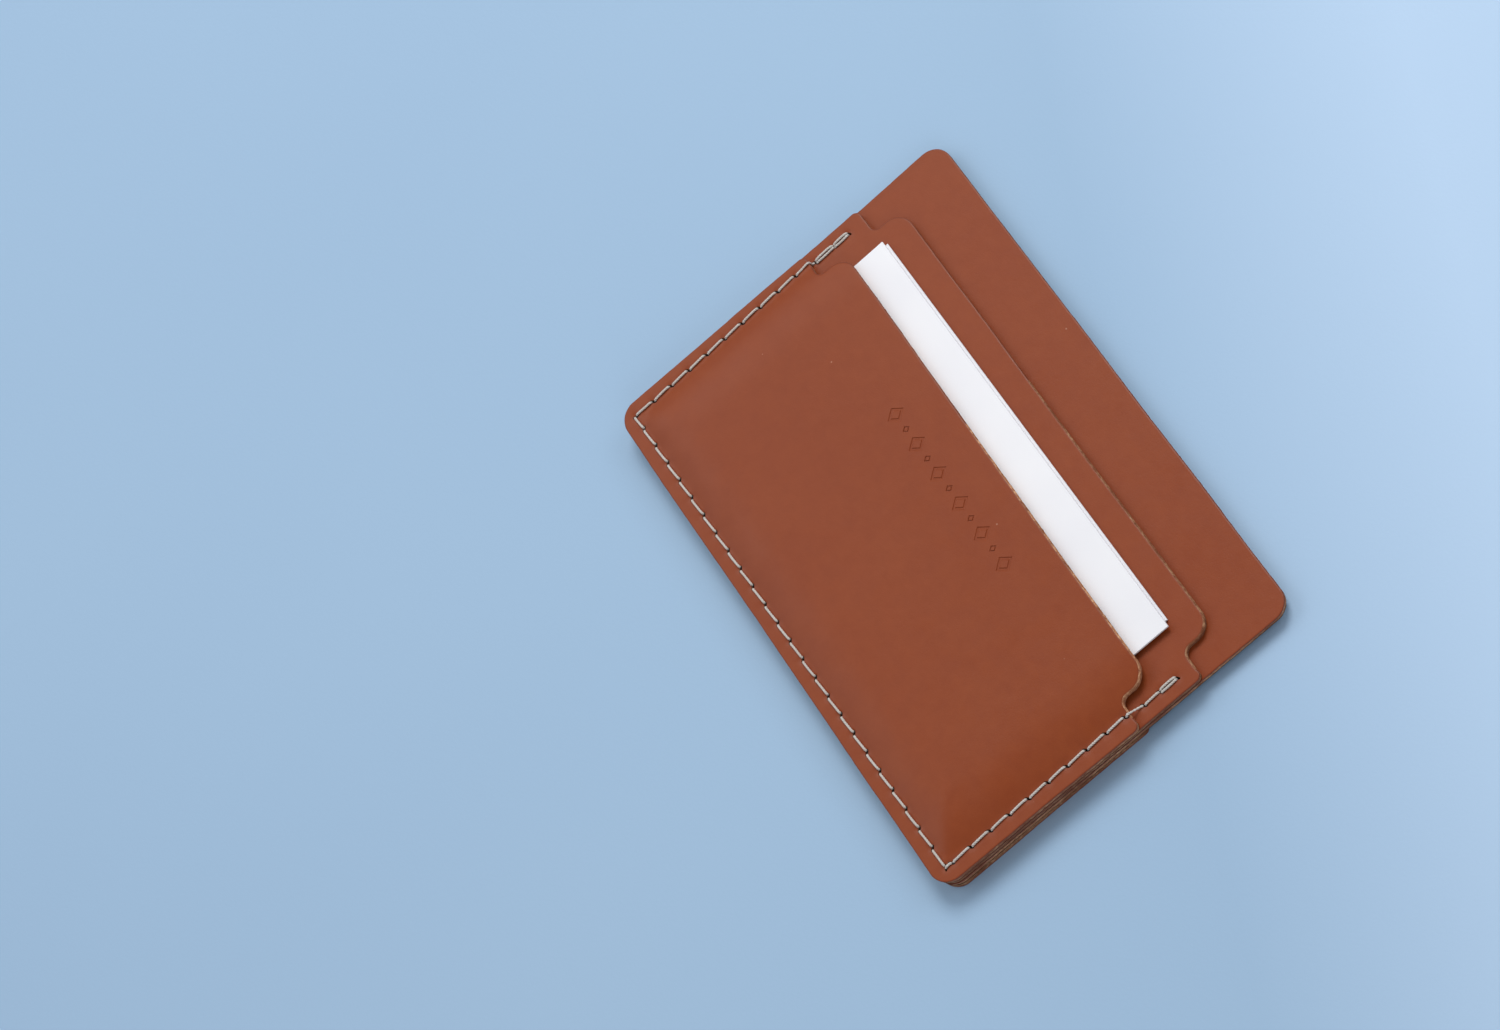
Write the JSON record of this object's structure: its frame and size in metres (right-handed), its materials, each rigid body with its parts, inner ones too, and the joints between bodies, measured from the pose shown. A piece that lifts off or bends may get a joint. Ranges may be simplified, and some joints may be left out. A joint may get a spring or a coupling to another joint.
{
  "type": "card holder",
  "caption": "Flat sewn leather card holder with stepped open-top pockets on the front, one on the rear, and blank cards that slide out.",
  "frame": {"origin": "centre of the rear face's plane, under the middle of the holder's outline", "axes": "+X along the width, +Y from the closed bottom edge to the open mouths, +Z out of the front face"},
  "size_m": [0.104, 0.071, 0.0061],
  "materials": {
    "leather": "smooth semi-gloss terracotta grain side with raw brown cut edges",
    "thread": "pale grey waxed sewing thread",
    "card": "matt white card"
  },
  "bodies": {
    "holder": {"rear_pocket": "leather", "back_panel": "leather", "middle_pocket": "leather", "front_pocket": "leather", "needle_thread": "thread", "bobbin_thread": "thread"},
    "rear_card": {"card_rear": "card"},
    "front_card": {"card_front": "card"}
  },
  "joints": [
    {"name": "rear_card_slide", "type": "slide", "parent": "holder", "child": "rear_card", "axis": [0, 1, 0], "range_m": [0, 0.05]},
    {"name": "front_card_slide", "type": "slide", "parent": "holder", "child": "front_card", "axis": [0, 1, 0], "range_m": [0, 0.05]}
  ]
}
